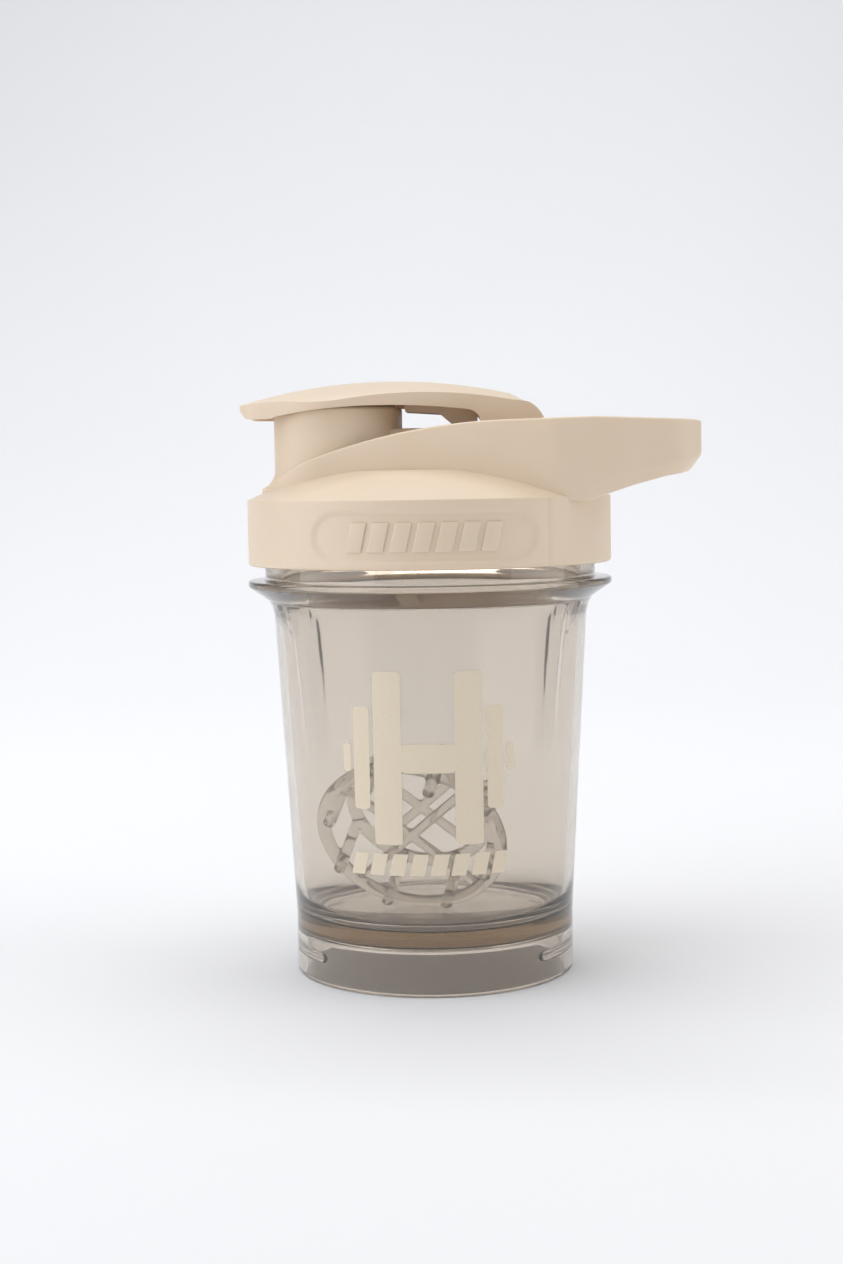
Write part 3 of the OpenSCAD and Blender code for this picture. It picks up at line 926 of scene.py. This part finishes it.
def makeCap():
    c, d = capSizes, lidSizes
    cap = capSolid("flipCap", 0, 0, c["rearR"], hemHeight)
    bevelEdges(cap, c["edge"], 3, 35)
    hollow = capSolid("hollow", c["wall"], c["roof"], c["rearIn"], lambda x: c["hollowLow"])
    boolean(cap, hollow, "DIFFERENCE")
    for side in (-1, 1):
        ear = hingeRod("ear", c["earR"], side * (c["earHalf"] - c["earThick"]),
                       side * c["earHalf"], 72, 0.35)
        boolean(cap, ear, "UNION")
        rib = across("rib", c["rib"], c["ribHalf"])
        rib.location.y = side * c["ribY"] * mm
        applyPlace(rib)
        boolean(cap, rib, "UNION")
    boss = rod("boss", c["bossR"], (d["spoutX"], 0, c["bossZ"]), (d["spoutX"], 0, c["bossTop"]), 64)
    boolean(cap, boss, "UNION")
    pinHole = hingeRod("pinHole", d["pinR"] + c["pinPlay"], -d["pinHole"], d["pinHole"], 32)
    boolean(cap, pinHole, "DIFFERENCE")
    finishPiece(cap, beige, "cap", "beige_lid", "flip_cap", smooth=32)


makeCap()


sealSizes = {
    # (radius, height, fillet) round the section of each ring
    "spout": [(0, 141.6), (10.6, 141.6, 0.4), (11.4, 140.4, 0.4), (12.8, 140.4, 0.5), (13.2, 143.0),
              (14.6, 143.0, 0.3), (14.6, 143.8, 0.3), (4.0, 143.8), (4.0, 145.6), (0, 145.6)],
    "gasket": [(39.3, 116.5), (39.3, 115.55, 0.5), (42.4, 115.55, 0.5), (42.4, 117.45, 0.5),
               (39.3, 117.45, 0.5), (39.3, 116.6)],
    "pinHalf": 10.7, "pinRound": 0.25,
}


def makeSealsAndPin():
    d, s = lidSizes, sealSizes
    seal = lathe("spoutSeal", roundedLine(s["spout"]), 96, d["spoutX"])
    finishPiece(seal, silicone, "cap", "silicone", "spout_seal")
    gasket = lathe("lidGasket", roundedLine(s["gasket"]), 180, 0, closed=True)
    finishPiece(gasket, silicone, "gasket", "silicone", "lid_gasket")
    pin = hingeRod("hingePin", d["pinR"], -s["pinHalf"], s["pinHalf"], 48, s["pinRound"])
    finishPiece(pin, acetal, "lid", "pin", "hinge_pin")


makeSealsAndPin()


ballSizes = {
    "centre": (-4, -9, 38.95), "lean": 57.0, "tilt": 20.0, "hoopR": 1.7,
    "front": {"ringR": 22.3, "at": -6.0, "pegs": (-11.5, -0.05)},
    "rear": {"ringR": 17.8, "at": 5.0, "pegs": (0.05, 7.0)},
    "spokeR": 1.25, "spokeTurns": (22.5, 112.5),
    "pegR": 1.5, "pegRing": 20.0, "pegCount": 8, "voxel": 0.42,
}


def makeBallHalf(name, side, node):
    b, s = ballSizes, ballSizes[side]
    bpy.ops.object.select_all(action="DESELECT")
    bpy.ops.mesh.primitive_torus_add(major_radius=s["ringR"] * mm, minor_radius=b["hoopR"] * mm,
                                     major_segments=120, minor_segments=20,
                                     location=(0, 0, s["at"] * mm))
    parts = [bpy.context.object]
    applyPlace(parts[0])
    for turn in b["spokeTurns"]:
        reach = Vector((math.cos(math.radians(turn)), math.sin(math.radians(turn)), 0)) * s["ringR"]
        up = Vector((0, 0, s["at"]))
        parts.append(rod("spoke", b["spokeR"], up - reach, up + reach, 20))
    for i in range(b["pegCount"]):
        a = 2 * math.pi * i / b["pegCount"]
        x, y = b["pegRing"] * math.cos(a), b["pegRing"] * math.sin(a)
        parts.append(rod("peg", b["pegR"], (x, y, s["pegs"][0]), (x, y, s["pegs"][1]), 24))
    half = join(parts, name)
    applyModifier(half, "REMESH", mode="VOXEL", voxel_size=b["voxel"] * mm)
    applyModifier(half, "SMOOTH", factor=0.5, iterations=4)
    tilt = Matrix.Rotation(math.radians(b["tilt"]), 4, "Y")
    lean = Matrix.Rotation(math.radians(-b["lean"]), 4, "X")
    half.matrix_world = Matrix.Translation(Vector(b["centre"]) * mm) @ tilt @ lean
    applyPlace(half)
    finishPiece(half, natural, "ball", "ball_plastic", node, smooth=60)


makeBallHalf("mixingBallFront", "front", "mixing_ball_front")
makeBallHalf("mixingBallRear", "rear", "mixing_ball_rear")


studio = {
    "camera": {"place": (0.0150, -0.4982, 0.1251), "turn": 2.0, "down": 4.51, "roll": -0.87,
               "lens": 55.76},
    "world": {"colour": "#F5F6F8", "strength": 0.39},
    "sweep": {"halfWide": 1.2, "halfDeep": 2.2, "tall": 3.5, "curve": 1.6},
    "lamps": [
        # name, place, aimed at, wide, tall, power, colour
        ("softboxLeft", (-1.10, -0.48, 0.60), (0, 0, 0.30), 1.6, 1.6, 11.0, "#F6F9FF"),
        ("softboxRight", (1.19, -0.18, 0.60), (0, 0, 0.30), 1.2, 1.6, 6.2, "#FFFFFF"),
        ("softboxTop", (-0.15, 0.05, 1.20), (0, 0, 0.08), 1.2, 1.2, 6.2, "#FFFFFF"),
        ("softboxBackdrop", (0, 0.75, 1.50), (0, 1.7, 0.25), 1.8, 0.7, 9.0, "#FBFCFF"),
    ],
}


def makeStudio():
    paper = studio["sweep"]
    bpy.ops.object.select_all(action="DESELECT")
    bpy.ops.mesh.primitive_plane_add(size=2, location=(0, 0, 0))
    sweep = bpy.context.object
    sweep.name = "paperSweepFloor"
    sweep.scale = (paper["halfWide"], paper["halfDeep"], 1)
    applyPlace(sweep)
    editAll(sweep)
    bpy.ops.mesh.select_all(action="DESELECT")
    leaveEdit()
    for vertex in sweep.data.vertices:
        vertex.select = vertex.co.y > 1
    for edge in sweep.data.edges:
        edge.select = all(sweep.data.vertices[v].co.y > 1 for v in edge.vertices)
    bpy.ops.object.mode_set(mode="EDIT")
    bpy.ops.mesh.select_mode(type="EDGE")
    bpy.ops.mesh.extrude_region_move(TRANSFORM_OT_translate={"value": (0, 0, paper["tall"])})
    leaveEdit()
    applyModifier(sweep, "BEVEL", width=paper["curve"], segments=24, limit_method="ANGLE",
                  angle_limit=math.radians(40))
    sweep.data.materials.append(paperSweep())
    smoothBelow(sweep, 40)

    world = bpy.data.worlds.new("paleStudio")
    bpy.context.scene.world = world
    world.use_nodes = True
    background = world.node_tree.nodes["Background"]
    background.inputs["Color"].default_value = linear(studio["world"]["colour"])
    background.inputs["Strength"].default_value = studio["world"]["strength"]

    for name, place, aim, wide, tall, power, colour in studio["lamps"]:
        bpy.ops.object.light_add(type="AREA", location=place)
        lamp = bpy.context.object
        lamp.name = name
        lamp.rotation_euler = (Vector(aim) - Vector(place)).to_track_quat("-Z", "Y").to_euler()
        lamp.data.shape = "RECTANGLE"
        lamp.data.size = wide
        lamp.data.size_y = tall
        lamp.data.energy = power
        lamp.data.color = linear(colour)[:3]
        lamp.visible_camera = False

    view = studio["camera"]
    bpy.ops.object.camera_add(location=view["place"])
    camera = bpy.context.object
    turn = Matrix.Rotation(math.radians(view["turn"]), 4, "Z")
    down = Matrix.Rotation(math.radians(90 - view["down"]), 4, "X")
    roll = Matrix.Rotation(math.radians(view["roll"]), 4, "Z")
    camera.matrix_world = Matrix.Translation(view["place"]) @ turn @ down @ roll
    camera.data.lens = view["lens"]
    camera.data.sensor_width = 36
    bpy.context.scene.camera = camera
    bpy.context.scene.view_settings.view_transform = "Standard"


makeStudio()
print("studio ready")
